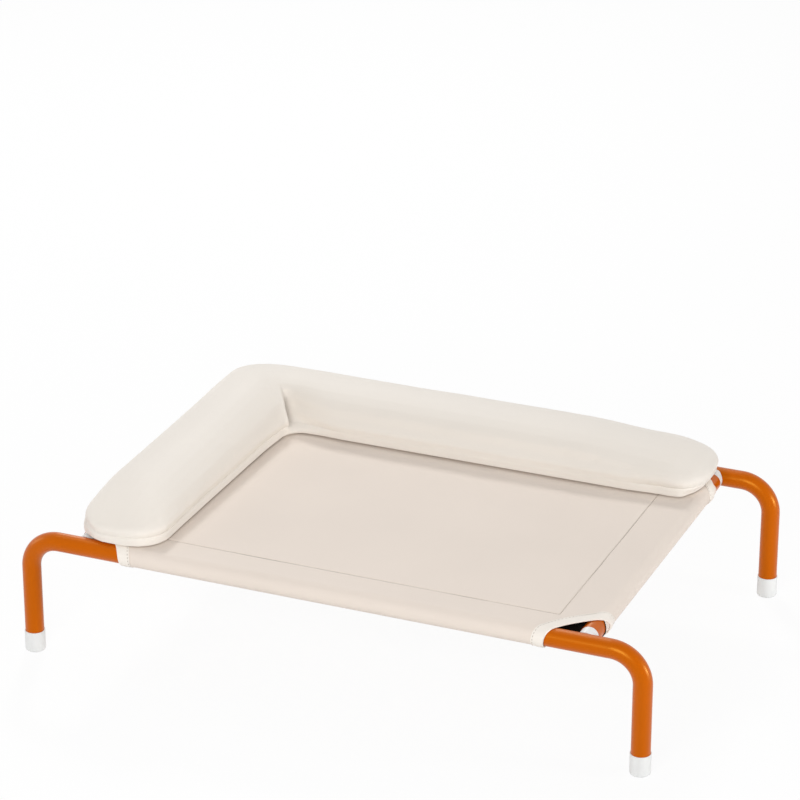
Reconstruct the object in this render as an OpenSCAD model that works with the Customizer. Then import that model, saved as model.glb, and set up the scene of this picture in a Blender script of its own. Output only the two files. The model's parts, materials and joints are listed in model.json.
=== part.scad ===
// Raised dog cot: a bent tube frame that plugs together, a taut cloth sling with a sleeve on
// each edge, and a stuffed L-shaped bolster along the back and the left side.
// Millimetres. X runs along the length, Y from front to back, Z up from the floor.

/* [Tube frame] */
// Distance between the leg axes along the length
leg_spacing = 846; // [760:1:1000]
// Distance between the axes of the front and back rails
rail_spacing = 528; // [460:1:640]
// Height of the rail axis above the floor
rail_height = 165; // [130:1:240]
// Distance from the leg axis in to the cross tube axis
cross_inset = 78; // [65:1:100]
// Outside diameter of every tube
tube_d = 25; // [22:0.5:28]
// Wall of every tube
tube_wall = 1.2; // [0.8:0.1:2]
// Radius of the leg bend, at the centre line of the tube
bend_radius = 42; // [36:1:50]
// Length of the drawn-down spigot that joins two rail halves
spigot_length = 45; // [30:1:70]
// Length of the cone between the tube and its spigot
spigot_cone = 4; // [2:0.5:8]
// Radial clearance of a plug in a tube, a peg in its hole and a cap on a leg
plug_gap = 0.1; // [0.05:0.05:0.3]

/* [Cross tube saddles] */
// Length of the saddle between the rail and the end of the cross tube
saddle_length = 10; // [8:1:25]
// How far the saddle lies under the skin of the cross tube
saddle_step = 0.5; // [0:0.1:1]
// Length of the saddle's shank inside the cross tube
shank_length = 30; // [20:1:45]
// Wall of the hollow shank
shank_wall = 3; // [2:0.5:5]
// Diameter of the peg that sits in the rail
peg_d = 8; // [6:0.5:10]
// How far the peg reaches into the rail from its outside
peg_reach = 7; // [4:0.5:9]
// Length of the bevels on the shank and the peg
plug_bevel = 1.5; // [0.5:0.5:2.5]

/* [Feet] */
// Wall of a foot cap
foot_wall = 0.9; // [0.8:0.1:4]
// Height of a foot cap
foot_height = 29; // [20:1:45]
// Thickness of the cap under the leg
foot_floor = 4; // [2:0.5:8]
// Radius of the cap's lower edge
foot_edge = 3; // [1:0.5:5]

/* [Sling] */
// Thickness of the coated cloth
cloth_t = 1; // [0.6:0.1:2]
// Clearance between a tube and the sleeve around it
sleeve_gap = 0.3; // [0.2:0.1:1]
// Distance from the rail axis in to the front and back seams
rail_seam = 37; // [30:1:60]
// Distance from the cross tube axis in to the left and right seams
cross_seam = 45; // [30:1:70]
// Width of the hem that is sewn flat under the panel, past the seam
hem_w = 8; // [4:1:15]
// Gap between two hems at a corner
hem_gap = 3; // [1:0.5:6]
// Length of the bare rail between the sleeve's end and the cross tube axis
rail_bare = 42; // [38:1:80]
// Length of the bare cross tube between the sleeve's end and the rail axis
cross_bare = 46; // [45:1:80]
// How far the corner cut-out bows into the panel
corner_bow = 3; // [2:0.5:12]
// Width of the tape that binds a corner cut-out
binding_w = 16; // [8:1:20]
// Thickness of the binding tape
binding_t = 0.8; // [0.4:0.1:1.2]

/* [Bolster] */
// Width of each arm of the bolster
bolster_w = 131; // [110:1:150]
// Height of the crown above the seam
crown_h = 43; // [30:1:60]
// Height of the band under the seam
band_h = 12; // [10:0.5:20]
// How far the band is drawn in under the crown
band_inset = 1.5; // [0.5:0.5:3]
// Length of the rounded end of each arm
end_length = 46; // [30:1:60]
// Length of the rounding on the outer side of the front end
front_round = 86; // [40:1:120]
// Length over which the crown rises from the front end
front_rise = 130; // [125:1:160]
// Length over which the crown rises from the right end
right_rise = 80; // [60:1:120]
// How far the crown swells at the corner between the arms
corner_swell = 8; // [0:0.5:15]
// Radius of the inside corner between the arms
inner_radius = 24; // [15:1:40]
// Radius of the outside corner between the arms
outer_radius = 70; // [60:1:120]
// How far the bolster reaches past the left cross tube axis
side_overhang = 22; // [10:1:26]
// How far the bolster reaches past the back rail axis
back_overhang = 9; // [8:1:14]
// How far the front end reaches past the front rail axis
front_overhang = 7; // [0:1:14]
// How far the right end reaches past the right cross tube axis
right_overhang = 18; // [0:1:24]
// Gap between the stuffing and its cover
core_gap = 0.3; // [0.2:0.1:1]

/* [Hook and loop strips] */
// Length of a strip
strip_length = 120; // [60:1:160]
// Width of a strip
strip_w = 25; // [16:1:40]
// Thickness of a strip
strip_t = 1.2; // [0.8:0.1:2]
// Gap between a hook strip and its loop strip
strip_gap = 0.2; // [0.1:0.1:0.5]

/* [Zip] */
// Plain band left between the zip and each end of the straight back
zip_margin = 44; // [20:1:100]
// Height of the row of teeth
zip_h = 5; // [4:0.5:6]
// How far the teeth stand out of the band
zip_t = 1.4; // [1:0.1:2]
// Length of the slider
slider_length = 12; // [9:0.5:16]
// Wall of the slider
slider_wall = 1.6; // [1.2:0.1:2]
// Running clearance between the slider and the teeth
slider_gap = 0.2; // [0.1:0.05:0.4]
// Diameter of the bar that carries the pull
pull_bar_d = 1.8; // [1.4:0.1:2.2]
// Running clearance of the pull on its bar
pull_gap = 0.08; // [0.03:0.01:0.1]
// Wall of the pull's eye
pull_eye_wall = 0.9; // [0.7:0.1:1.2]
// Thickness of the pull
pull_t = 1.4; // [1:0.1:2]
// Width of the pull
pull_w = 5; // [4:0.5:7]
// Length of the pull below its bar
pull_length = 13; // [10:0.5:14]

/* [Hidden] */

tube_orange = "#d9741c";
cap_white = "#f2f2f0";
sling_cream = "#e4dbd0";
binding_cream = "#efe8df";
bolster_cream = "#ece5dc";
stuffing_white = "#f7f5f0";
strip_beige = "#d8cdbd";
zip_beige = "#cfc3b3";
zip_metal = "#b9b4ab";

// Round pieces
$fn = 64;
// Overlap of a cutting tool past the face that it opens
cut = 1;
// Lap of the tape round a sleeve over the panel
tape_lap = 0.5;
// Points round the wrap of a sleeve
wrap_steps = 36;

leg_x = leg_spacing / 2;
rail_y = rail_spacing / 2;
cross_x = leg_x - cross_inset;
tube_r = tube_d / 2;
bore_r = tube_r - tube_wall;
plug_r = bore_r - plug_gap;
bend_start_x = leg_x - bend_radius;
saddle_r = tube_r - saddle_step;
cross_end = rail_y - tube_r - saddle_length;
foot_r = tube_r + plug_gap + foot_wall;

// The sleeve round a tube: its inner and outer radius, and the level of the panel
sleeve_r = tube_r + sleeve_gap;
sleeve_outer_r = sleeve_r + cloth_t;
panel_bottom = rail_height + sleeve_r;
panel_top = rail_height + sleeve_outer_r;
rail_sleeve_half = cross_x - rail_bare;
cross_sleeve_half = rail_y - cross_bare;
cross_hem_half = min(cross_sleeve_half, rail_y - rail_seam - hem_w - hem_gap);

// The circle that cuts the right front corner of the panel, through both sleeve ends
chord = [cross_x - rail_sleeve_half, rail_y - cross_sleeve_half];
chord_length = norm(chord);
corner_r = chord_length ^ 2 / (8 * corner_bow) + corner_bow / 2;
chord_middle = [(cross_x + rail_sleeve_half) / 2, -(rail_y + cross_sleeve_half) / 2];
corner_out = [chord[1], -chord[0]] / chord_length;
corner_centre = chord_middle + (corner_r - corner_bow) * corner_out;

// Levels of the bolster, from the strips up
base_bottom = panel_top + 2 * strip_t + strip_gap;
base_top = base_bottom + cloth_t;
seam_z = base_bottom + band_h;

// Plan of the bolster: the two edges of each arm, and the centres of the corner arcs
half_w = bolster_w / 2;
outer_x = -(cross_x + side_overhang);
outer_y = rail_y + back_overhang;
inner_x = outer_x + bolster_w;
inner_y = outer_y - bolster_w;
arm_x = outer_x + half_w;
arm_y = outer_y - half_w;
front_end_y = -(rail_y + front_overhang);
right_end_x = cross_x + right_overhang;
inner_centre = [inner_x + inner_radius, inner_y - inner_radius];
outer_centre = [outer_x + outer_radius, outer_y - outer_radius];

// Steps along the bolster, and points across its crown
end_steps = 7;
rise_steps = 3;
arm_steps = 3;
turn_steps = 10;
crown_steps = 12;
// First angle of a rounded end: its tip is blunt
tip_angle = 9;
// Roundness of the crown and of the ends in plan, where 2 is an ellipse
crown_power = 2.2;
end_power = 2.4;

// Place of the zip and its slider on the back of the band
zip_left = inner_centre[0] + zip_margin;
zip_length = right_end_x - end_length - zip_margin - zip_left;
zip_z = base_bottom + band_h / 2;
band_back_y = outer_y - band_inset;
zip_face_y = band_back_y + zip_t;
slider_x = zip_left + slider_length;
slider_face_y = zip_face_y + slider_gap + slider_wall;
pull_eye_r = pull_bar_d / 2 + pull_gap;
pull_ring_r = pull_eye_r + pull_eye_wall;
bar_y = slider_face_y + pull_ring_r + slider_gap;

// Places of the hook and loop strips: x, y, and the turn about Z
back_quarter = (right_end_x - inner_centre[0]) / 4;
strips = [[inner_centre[0] + back_quarter, arm_y, 0], [right_end_x - back_quarter, arm_y, 0],
          [arm_x, (inner_centre[1] + front_end_y) / 2, 90]];

// Tube frame

// A straight tube body along +X from the origin
module rod_x(radius, length) {
    rotate([0, 90, 0]) cylinder(r = radius, h = length);
}

// A rod that follows one rail half and its leg, from the middle of the rail down to leg_end
module leg_path(radius, rail_start, leg_end) {
    translate([rail_start, 0, rail_height]) rod_x(radius, bend_start_x - rail_start);
    translate([bend_start_x, 0, rail_height - bend_radius])
        rotate([90, 0, 0])
        rotate_extrude(angle = 90)
        translate([bend_radius, 0]) circle(r = radius);
    translate([leg_x, 0, leg_end]) cylinder(r = radius, h = rail_height - bend_radius - leg_end);
}

// The hole in the inner wall of the rail that takes the peg of a saddle
module peg_hole() {
    translate([cross_x, 0, rail_height])
        rotate([-90, 0, 0]) cylinder(d = peg_d + 2 * plug_gap, h = tube_d);
}

// The rail half with the open end, drawn on the right
module socket_tube() {
    color(tube_orange)
    difference() {
        leg_path(tube_r, 0, foot_floor);
        leg_path(bore_r, -cut, foot_floor - cut);
        peg_hole();
    }
}

// The rail half with the drawn-down spigot, drawn on the right
module spigot_tube() {
    color(tube_orange)
    difference() {
        union() {
            leg_path(tube_r, spigot_cone, foot_floor);
            translate([0, 0, rail_height]) rotate([0, 90, 0])
                cylinder(r1 = plug_r, r2 = tube_r, h = spigot_cone);
            translate([-spigot_length, 0, rail_height]) rod_x(plug_r, spigot_length);
        }
        leg_path(bore_r, spigot_cone, foot_floor - cut);
        translate([0, 0, rail_height]) rotate([0, 90, 0])
            cylinder(r1 = plug_r - tube_wall, r2 = bore_r, h = spigot_cone);
        translate([-spigot_length - cut, 0, rail_height])
            rod_x(plug_r - tube_wall, spigot_length + cut);
        peg_hole();
    }
}

module front_left_tube() { translate([0, -rail_y, 0]) mirror([1, 0, 0]) socket_tube(); }
module front_right_tube() { translate([0, -rail_y, 0]) spigot_tube(); }
module back_left_tube() { mirror([0, 1, 0]) front_left_tube(); }
module back_right_tube() { mirror([0, 1, 0]) front_right_tube(); }

module cross_tube(side) {
    color(tube_orange)
    translate([side * cross_x, -cross_end, rail_height]) rotate([-90, 0, 0])
    difference() {
        cylinder(r = tube_r, h = 2 * cross_end);
        translate([0, 0, -cut]) cylinder(r = bore_r, h = 2 * (cross_end + cut));
    }
}

// The moulded saddle, with the rail axis along X through the origin and its shank along +Z
module saddle() {
    shoulder = tube_r + saddle_length;
    tip = shoulder + shank_length;
    color(cap_white)
    difference() {
        union() {
            difference() {
                translate([0, 0, tube_r / 2]) cylinder(r = saddle_r, h = shoulder - tube_r / 2);
                translate([-tube_d, 0, 0]) rod_x(tube_r + plug_gap, 2 * tube_d);
            }
            translate([0, 0, tube_r - peg_reach + plug_bevel])
                cylinder(d = peg_d, h = peg_reach + saddle_length - plug_bevel);
            translate([0, 0, tube_r - peg_reach])
                cylinder(d1 = peg_d - 2 * plug_bevel, d2 = peg_d, h = plug_bevel);
            translate([0, 0, shoulder]) cylinder(r = plug_r, h = shank_length - plug_bevel);
            translate([0, 0, tip - plug_bevel])
                cylinder(r1 = plug_r, r2 = plug_r - plug_bevel, h = plug_bevel);
        }
        translate([0, 0, shoulder]) cylinder(r = plug_r - shank_wall, h = shank_length + cut);
    }
}

module placed_saddle(side, end) {
    translate([side * cross_x, end * rail_y, rail_height]) rotate([end * 90, 0, 0]) saddle();
}

// Feet

// A cap pushed on to the end of a leg, with a rounded lower edge
module foot(side, end) {
    color(cap_white)
    translate([side * leg_x, end * rail_y, 0])
    rotate_extrude()
    difference() {
        union() {
            square([foot_r - foot_edge, foot_height]);
            translate([0, foot_edge]) square([foot_r, foot_height - foot_edge]);
            translate([foot_r - foot_edge, foot_edge])
                intersection() {
                    circle(r = foot_edge);
                    translate([0, -foot_edge]) square(foot_edge);
                }
        }
        translate([0, foot_floor]) square([tube_r + plug_gap, foot_height]);
    }
}

// Sling

// The flat cloth up to the crests of the tubes, without its corners
module panel_outline() {
    difference() {
        square([2 * cross_x, rail_spacing], center = true);
        corner_circles(corner_r);
    }
}

module corner_circles(radius) {
    for (side = [-1, 1], end = [-1, 1])
        translate([side * corner_centre[0], -end * corner_centre[1]]) circle(r = radius);
}

module sling_panel() {
    color(sling_cream) translate([0, 0, panel_bottom]) linear_extrude(cloth_t) panel_outline();
}

// Sections of cloth round a tube at the origin, where +X points in from the edge of the cot: from
// the crest, round the outside, and straight back up to the seam under the panel.
function leave_angle(seam) = 270 + 2 * atan2(sleeve_r, seam);
function arc(r, leave) = [for (i = [0 : wrap_steps])
    let (a = between(90, leave, i / wrap_steps)) r * [cos(a), sin(a)]];
function reversed(list) = [for (i = [1 : len(list)]) list[len(list) - i]];

// Where the straight part of a wrap of radius r reaches a given x or y
function run_to_x(r, leave, x) = [x, (r - x * cos(leave)) / sin(leave)];
function run_to_y(r, leave, y) = [(r - y * sin(leave)) / cos(leave), y];

// A sleeve, with the hem that is sewn flat under the panel
module sleeve_section(seam) {
    leave = leave_angle(seam);
    hem_y = sleeve_r - cloth_t;
    polygon(concat(arc(sleeve_outer_r, leave),
                   [run_to_y(sleeve_outer_r, leave, hem_y), [seam + hem_w, hem_y]],
                   [[seam + hem_w, sleeve_r], [seam, sleeve_r]],
                   reversed(arc(sleeve_r, leave))));
}

// The tape round the end of a sleeve, which starts with a short lap over the panel
module tape_section(seam) {
    leave = leave_angle(seam);
    outer_r = sleeve_outer_r + binding_t;
    polygon(concat([[tape_lap, outer_r]], arc(outer_r, leave), [run_to_x(outer_r, leave, seam)],
                   [run_to_x(sleeve_outer_r, leave, seam)], reversed(arc(sleeve_outer_r, leave)),
                   [[tape_lap, sleeve_outer_r]]));
}

// A section of cloth drawn along X over the front rail
module along_rail(from_x, to_x) {
    translate([from_x, -rail_y, rail_height]) rotate([90, 0, 90])
        linear_extrude(to_x - from_x) children();
}

// A section of cloth drawn along Y over the right cross tube
module along_cross(from_y, to_y) {
    translate([cross_x, from_y, rail_height]) rotate([90, 0, 180])
        linear_extrude(to_y - from_y) children();
}

module front_sleeve() {
    color(sling_cream) along_rail(-rail_sleeve_half, rail_sleeve_half) sleeve_section(rail_seam);
}

// The ends of its hem are trimmed clear of the hems along the rails
module right_sleeve() {
    color(sling_cream)
    difference() {
        along_cross(-cross_sleeve_half, cross_sleeve_half) sleeve_section(cross_seam);
        for (flip = [0, 1])
            mirror([0, flip, 0])
            translate([cross_x - cross_seam - hem_w - cut, cross_hem_half, panel_bottom - cloth_t - cut])
            cube([hem_w + cut, cross_sleeve_half - cross_hem_half + cut, cloth_t + 2 * cut]);
    }
}

module back_sleeve() { mirror([0, 1, 0]) front_sleeve(); }
module left_sleeve() { mirror([1, 0, 0]) right_sleeve(); }

// The tape on the right front cut-out: along the edge of the panel and round both sleeve ends
module binding() {
    color(binding_cream) {
        translate([0, 0, panel_top]) linear_extrude(binding_t)
            intersection() {
                panel_outline();
                translate(corner_centre) circle(r = corner_r + binding_w);
            }
        along_rail(rail_sleeve_half - binding_w, rail_sleeve_half) tape_section(rail_seam);
        along_cross(-cross_sleeve_half, binding_w - cross_sleeve_half) tape_section(cross_seam);
    }
}

module placed_binding(side, end) {
    mirror([side < 0 ? 1 : 0, 0, 0]) mirror([0, end > 0 ? 1 : 0, 0]) binding();
}

// Hook and loop strips

module strip_set(level) {
    color(strip_beige)
    for (place = strips)
        translate([place[0], place[1], level]) rotate(place[2])
            translate([-strip_length / 2, -strip_w / 2, 0]) cube([strip_length, strip_w, strip_t]);
}

// Bolster

// Stations along the bolster, each [inner edge, outer edge, share of the crown's height].
// A skin that lies inset under the outside has its edges and tips further in.
function between(a, b, t) = a * (1 - t) + b * t;
function steps(count) = [for (i = [1 : count]) i / count];
function end_angle(i) = between(tip_angle, 90, i / end_steps);
function end_width(a) = sin(a) ^ (2 / end_power);
function end_along(a, length, inset) =
    let (c = max(0, cos(a)) ^ (2 / end_power)) length * (1 - c) + inset * c;
function rise(along, length) = sqrt(1 - (1 - min(1, along / length)) ^ 2);
function swell(t) = 1 + corner_swell / crown_h * t;

function left_station(y_inner, y_outer, half, share) =
    [[arm_x + half, y_inner], [arm_x - half, y_outer], share];
function back_station(x_inner, x_outer, half, share) =
    [[x_inner, arm_y - half], [x_outer, arm_y + half], share];

function left_arm(inset) = let (full = half_w - inset, risen = front_end_y + front_rise) concat(
    [for (i = [0 : end_steps])
        let (a = end_angle(i),
             near = end_along(a, end_length, inset),
             far = end_along(a, front_round, inset))
        left_station(front_end_y + near, front_end_y + far, full * end_width(a),
                     rise((near + far) / 2 - inset, front_rise))],
    [for (t = steps(rise_steps))
        let (near = between(end_length, front_rise, t), far = between(front_round, front_rise, t))
        left_station(front_end_y + near, front_end_y + far, full, rise((near + far) / 2, front_rise))],
    [for (t = steps(arm_steps))
        left_station(between(risen, inner_centre[1], t), between(risen, outer_centre[1], t),
                     full, swell(t))]);

function turn(inset) = [for (t = steps(turn_steps)) let (a = 180 - 90 * t, way = [cos(a), sin(a)])
    [inner_centre + (inner_radius + inset) * way, outer_centre + (outer_radius - inset) * way,
     swell((1 + cos(180 * t)) / 2)]];

function back_arm(inset) = let (full = half_w - inset, risen = right_end_x - right_rise) concat(
    [for (t = steps(arm_steps))
        back_station(between(inner_centre[0], risen, t), between(outer_centre[0], risen, t), full, 1)],
    [for (t = steps(rise_steps)) let (along = between(right_rise, end_length, t))
        back_station(right_end_x - along, right_end_x - along, full, rise(along, right_rise))],
    [for (i = [1 : end_steps])
        let (a = end_angle(end_steps - i),
             x = right_end_x - end_along(a, end_length, inset))
        back_station(x, x, full * end_width(a), rise(right_end_x - inset - x, right_rise))]);

function stations(inset) = concat(left_arm(inset), turn(inset), back_arm(inset));

// A point of a station's section, across from -1 (inside of the L) to 1 (outside)
function at_station(s, across, z) = let (p = between(s[0], s[1], (1 + across) / 2)) [p[0], p[1], z];

// The crown over a station, with its points close together where the sides are steep
function crown_points(s, top_inset) = [for (k = [0 : crown_steps])
    let (across = -cos(180 * k / crown_steps),
         dome = max(0, 1 - abs(across) ^ crown_power) ^ (1 / crown_power))
    at_station(s, across, seam_z + (crown_h - top_inset) * s[2] * dome)];

// Outline of the bolster on the flat, inset from its widest line
function outline(inset) = let (line = stations(inset), last = len(line) - 1)
    concat([for (s = line) s[1]], [for (i = [0 : last]) line[last - i][0]]);

function flipped(faces) = [for (f = faces) [f[2], f[1], f[0]]];

// Triangles between the rings of a skin: rings of size points, each joined to the next one
function skin_faces(rings, size, first) = [for (i = [0 : rings - 2], k = [0 : size - 2], half = [0, 1])
    let (a = first + i * size + k, b = a + size)
    half == 0 ? [a, a + 1, b] : [a + 1, b + 1, b]];

// Triangles that close a ring
function tip_faces(start, size) = [for (k = [1 : size - 2]) [start, start + k + 1, start + k]];

// Triangles of a flat strip between two rows of points with the same count
function strip_faces(row_a, row_b) = [for (i = [0 : len(row_a) - 2], half = [0, 1])
    half == 0 ? [row_a[i], row_a[i + 1], row_b[i]] : [row_a[i + 1], row_b[i + 1], row_b[i]]];

function column(rings, size, first, k) = [for (i = [0 : rings - 1]) first + i * size + k];

// The sewn cover above the seam: a shell of cloth, open underneath, with its hem over the band
module bolster_cover() {
    hem = band_inset + cloth_t;
    outer = [for (s = stations(0)) crown_points(s, 0)];
    inner = [for (s = stations(hem)) crown_points(s, cloth_t)];
    rings = len(outer);
    size = crown_steps + 1;
    second = rings * size;
    last_outer = second - size;
    last_inner = 2 * second - size;
    points = [for (ring = concat(outer, inner), p = ring) p];
    outer_skin = concat(skin_faces(rings, size, 0), tip_faces(0, size),
                        flipped(tip_faces(last_outer, size)));
    inner_skin = concat(skin_faces(rings, size, second), tip_faces(second, size),
                        flipped(tip_faces(last_inner, size)));
    rim = concat(
        strip_faces(column(rings, size, 0, 0), column(rings, size, second, 0)),
        strip_faces(column(rings, size, second, size - 1), column(rings, size, 0, size - 1)),
        strip_faces([size - 1, 0], [second + size - 1, second]),
        strip_faces([last_outer, last_outer + size - 1], [last_inner, last_inner + size - 1]));
    color(bolster_cream)
        polyhedron(points = points, faces = concat(outer_skin, flipped(inner_skin), rim));
}

// The stuffing: it fills the band and the crown
module bolster_core() {
    inset = cloth_t + core_gap;
    side_inset = inset + band_inset;
    floor_z = base_top + core_gap;
    sections = [for (s = stations(side_inset))
        concat([at_station(s, -1, floor_z)], crown_points(s, inset), [at_station(s, 1, floor_z)])];
    rings = len(sections);
    size = crown_steps + 3;
    last = (rings - 1) * size;
    color(stuffing_white)
        polyhedron(points = [for (ring = sections, p = ring) p],
                   faces = concat(skin_faces(rings, size, 0), tip_faces(0, size),
                                  flipped(tip_faces(last, size)),
                                  strip_faces(column(rings, size, 0, 0),
                                              column(rings, size, 0, size - 1))));
}

// The strip of cloth under the seam, drawn in a little
module bolster_band() {
    color(bolster_cream)
    translate([0, 0, base_top]) linear_extrude(seam_z - base_top)
    difference() {
        polygon(outline(band_inset));
        polygon(outline(band_inset + cloth_t));
    }
}

module bolster_base() {
    color(bolster_cream)
    translate([0, 0, base_bottom]) linear_extrude(cloth_t) polygon(outline(band_inset));
}

// Zip

module zip_teeth() {
    color(zip_beige)
    translate([zip_left, band_back_y, zip_z - zip_h / 2])
        cube([zip_length, zip_t, zip_h]);
}

// A channel that runs on the teeth, with a bar on two lugs for the pull
module zip_slider() {
    inside_h = zip_h + 2 * slider_gap;
    outside_h = inside_h + 2 * slider_wall;
    lug = pull_w / 2 + slider_gap;
    lip_y = band_back_y + slider_gap;
    lug_root_y = slider_face_y - slider_wall / 2;
    color(zip_metal)
    translate([slider_x, 0, zip_z]) {
        difference() {
            translate([-slider_length / 2, lip_y, -outside_h / 2])
                cube([slider_length, slider_face_y - lip_y, outside_h]);
            translate([-slider_length / 2 - cut, lip_y - cut, -inside_h / 2])
                cube([slider_length + 2 * cut, zip_face_y + slider_gap - lip_y + cut, inside_h]);
        }
        for (side = [-1, 1])
            translate([side * (lug + slider_wall / 2) - slider_wall / 2, lug_root_y, -pull_ring_r])
                cube([slider_wall, bar_y - lug_root_y + pull_bar_d / 2, 2 * pull_ring_r]);
        translate([-lug - slider_wall / 2, bar_y, 0]) rod_x(pull_bar_d / 2, 2 * lug + slider_wall);
    }
}

// A flat tab that swings on the bar
module zip_pull() {
    color(zip_metal)
    translate([slider_x - pull_w / 2, bar_y, zip_z])
    difference() {
        union() {
            rod_x(pull_ring_r, pull_w);
            translate([0, -pull_t / 2, -pull_length]) cube([pull_w, pull_t, pull_length]);
        }
        translate([-cut, 0, 0]) rod_x(pull_eye_r, pull_w + 2 * cut);
    }
}

front_left_tube();
front_right_tube();
back_left_tube();
back_right_tube();
cross_tube(-1);  // left_cross_tube
cross_tube(1);  // right_cross_tube
placed_saddle(-1, -1);  // front_left_saddle
placed_saddle(1, -1);  // front_right_saddle
placed_saddle(-1, 1);  // back_left_saddle
placed_saddle(1, 1);  // back_right_saddle
foot(-1, -1);  // front_left_foot
foot(1, -1);  // front_right_foot
foot(-1, 1);  // back_left_foot
foot(1, 1);  // back_right_foot
sling_panel();
front_sleeve();
back_sleeve();
left_sleeve();
right_sleeve();
placed_binding(-1, -1);  // front_left_binding
placed_binding(1, -1);  // front_right_binding
placed_binding(-1, 1);  // back_left_binding
placed_binding(1, 1);  // back_right_binding
strip_set(panel_top);  // loop_strips
strip_set(panel_top + strip_t + strip_gap);  // hook_strips
bolster_cover();
bolster_band();
bolster_base();
bolster_core();
zip_teeth();
zip_slider();
zip_pull();
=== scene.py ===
import json
import math

import bmesh
import bpy
from mathutils import Matrix, Vector, noise

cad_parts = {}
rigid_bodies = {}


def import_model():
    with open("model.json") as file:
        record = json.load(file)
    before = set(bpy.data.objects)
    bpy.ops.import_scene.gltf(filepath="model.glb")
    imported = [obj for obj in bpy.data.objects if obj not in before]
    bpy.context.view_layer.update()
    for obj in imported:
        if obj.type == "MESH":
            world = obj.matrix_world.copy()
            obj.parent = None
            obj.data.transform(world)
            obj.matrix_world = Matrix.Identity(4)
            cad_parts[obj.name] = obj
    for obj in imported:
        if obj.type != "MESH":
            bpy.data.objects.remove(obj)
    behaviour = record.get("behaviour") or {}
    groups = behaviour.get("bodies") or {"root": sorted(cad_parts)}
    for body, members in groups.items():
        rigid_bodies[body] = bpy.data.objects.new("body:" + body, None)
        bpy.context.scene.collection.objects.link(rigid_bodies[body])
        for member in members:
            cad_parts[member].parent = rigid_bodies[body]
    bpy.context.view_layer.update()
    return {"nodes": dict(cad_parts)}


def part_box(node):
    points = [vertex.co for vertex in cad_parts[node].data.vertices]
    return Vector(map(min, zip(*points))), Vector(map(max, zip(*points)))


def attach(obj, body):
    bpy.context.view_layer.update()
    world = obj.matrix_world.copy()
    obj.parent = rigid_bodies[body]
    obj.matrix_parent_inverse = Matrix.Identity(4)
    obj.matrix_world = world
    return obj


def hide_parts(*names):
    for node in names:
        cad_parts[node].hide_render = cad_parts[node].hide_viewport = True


for left_over in list(bpy.data.objects):
    bpy.data.objects.remove(left_over)
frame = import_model()

# The frame is 25 mm steel tube: four bent tubes, each a leg and half a rail in one, and two straight
# cross tubes. They are sprayed with orange powder and baked, which leaves a glossy coat with a faint
# orange-peel ripple.
TUBES = ["front_left_tube", "front_right_tube", "back_left_tube", "back_right_tube",
         "left_cross_tube", "right_cross_tube"]


def colour(code):
    """The linear colour of a web colour code."""
    channels = [int(code[i:i + 2], 16) / 255 for i in (1, 3, 5)]
    linear = [c / 12.92 if c <= 0.04045 else ((c + 0.055) / 1.055) ** 2.4 for c in channels]
    return (*linear, 1.0)


def add_node(tree, kind, inputs=None, **settings):
    """Adds a shader node. An input given as another node's socket is linked, any other value is set."""
    node = tree.nodes.new("ShaderNode" + kind)
    for name, value in settings.items():
        setattr(node, name, value)
    for name, value in (inputs or {}).items():
        if isinstance(value, bpy.types.NodeSocket):
            tree.links.new(value, node.inputs[name])
        else:
            node.inputs[name].default_value = value
    return node


def new_group(name, inputs, outputs):
    """An empty shader node group, with the sockets inside it that give its inputs and take its outputs."""
    group = bpy.data.node_groups.new(name, "ShaderNodeTree")
    for label, kind in inputs:
        group.interface.new_socket(label, in_out="INPUT", socket_type="NodeSocket" + kind)
    for label, kind in outputs:
        group.interface.new_socket(label, in_out="OUTPUT", socket_type="NodeSocket" + kind)
    given = group.nodes.new("NodeGroupInput").outputs
    result = group.nodes.new("NodeGroupOutput").inputs
    return group, given, result


def new_material(name, **plain):
    """A node material, with its tree and its shader. Values that are the same all over are set here."""
    material = bpy.data.materials.new(name)
    material.use_nodes = True
    shader = material.node_tree.nodes["Principled BSDF"]
    for socket, value in plain.items():
        shader.inputs[socket.replace("_", " ")].default_value = value
    return material, material.node_tree, shader


def wire(tree, shader, **sockets):
    """Feeds inputs of a shader from the sockets of other nodes."""
    for name, socket in sockets.items():
        tree.links.new(socket, shader.inputs[name.replace("_", " ")])


def dress(piece, material):
    """Gives a piece one material all over."""
    piece.data.materials.clear()
    piece.data.materials.append(material)


mottle, given, result = new_group(
    "mottle",
    [("Color", "Color"), ("Scale", "Float"), ("Amount", "Float")],
    [("Color", "Color"), ("Value", "Float")])
place = add_node(mottle, "TexCoord").outputs["Object"]
cloud = add_node(mottle, "TexNoise", {"Vector": place, "Scale": given["Scale"], "Detail": 3.0})
centred = add_node(mottle, "Math", {0: cloud.outputs["Fac"], 1: 0.5}, operation="SUBTRACT")
swing = add_node(
    mottle, "Math", {0: centred.outputs[0], 1: given["Amount"], 2: 1.0}, operation="MULTIPLY_ADD")
shaded = add_node(mottle, "VectorMath", {0: given["Color"], "Scale": swing.outputs[0]}, operation="SCALE")
mottle.links.new(shaded.outputs[0], result["Color"])
mottle.links.new(cloud.outputs["Fac"], result["Value"])

powder_coat, tree, shader = new_material(
    "powder_coat", Specular_IOR_Level=0.6, Specular_Tint=colour("#ffc850"))
tone = add_node(
    tree, "Group", {"Color": colour("#bd5600"), "Scale": 9.0, "Amount": 0.16}, node_tree=mottle)
ripple = add_node(tree, "Group", {"Scale": 420.0, "Amount": 1.0}, node_tree=mottle)
gloss = add_node(
    tree, "MapRange", {"Value": tone.outputs["Value"], "To Min": 0.26, "To Max": 0.34})
peel = add_node(
    tree, "Bump", {"Height": ripple.outputs["Value"], "Strength": 0.1, "Distance": 0.0004})
wire(tree, shader, Base_Color=tone.outputs["Color"], Roughness=gloss.outputs["Result"],
     Normal=peel.outputs["Normal"])
for name in TUBES:
    dress(frame["nodes"][name], powder_coat)

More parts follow.
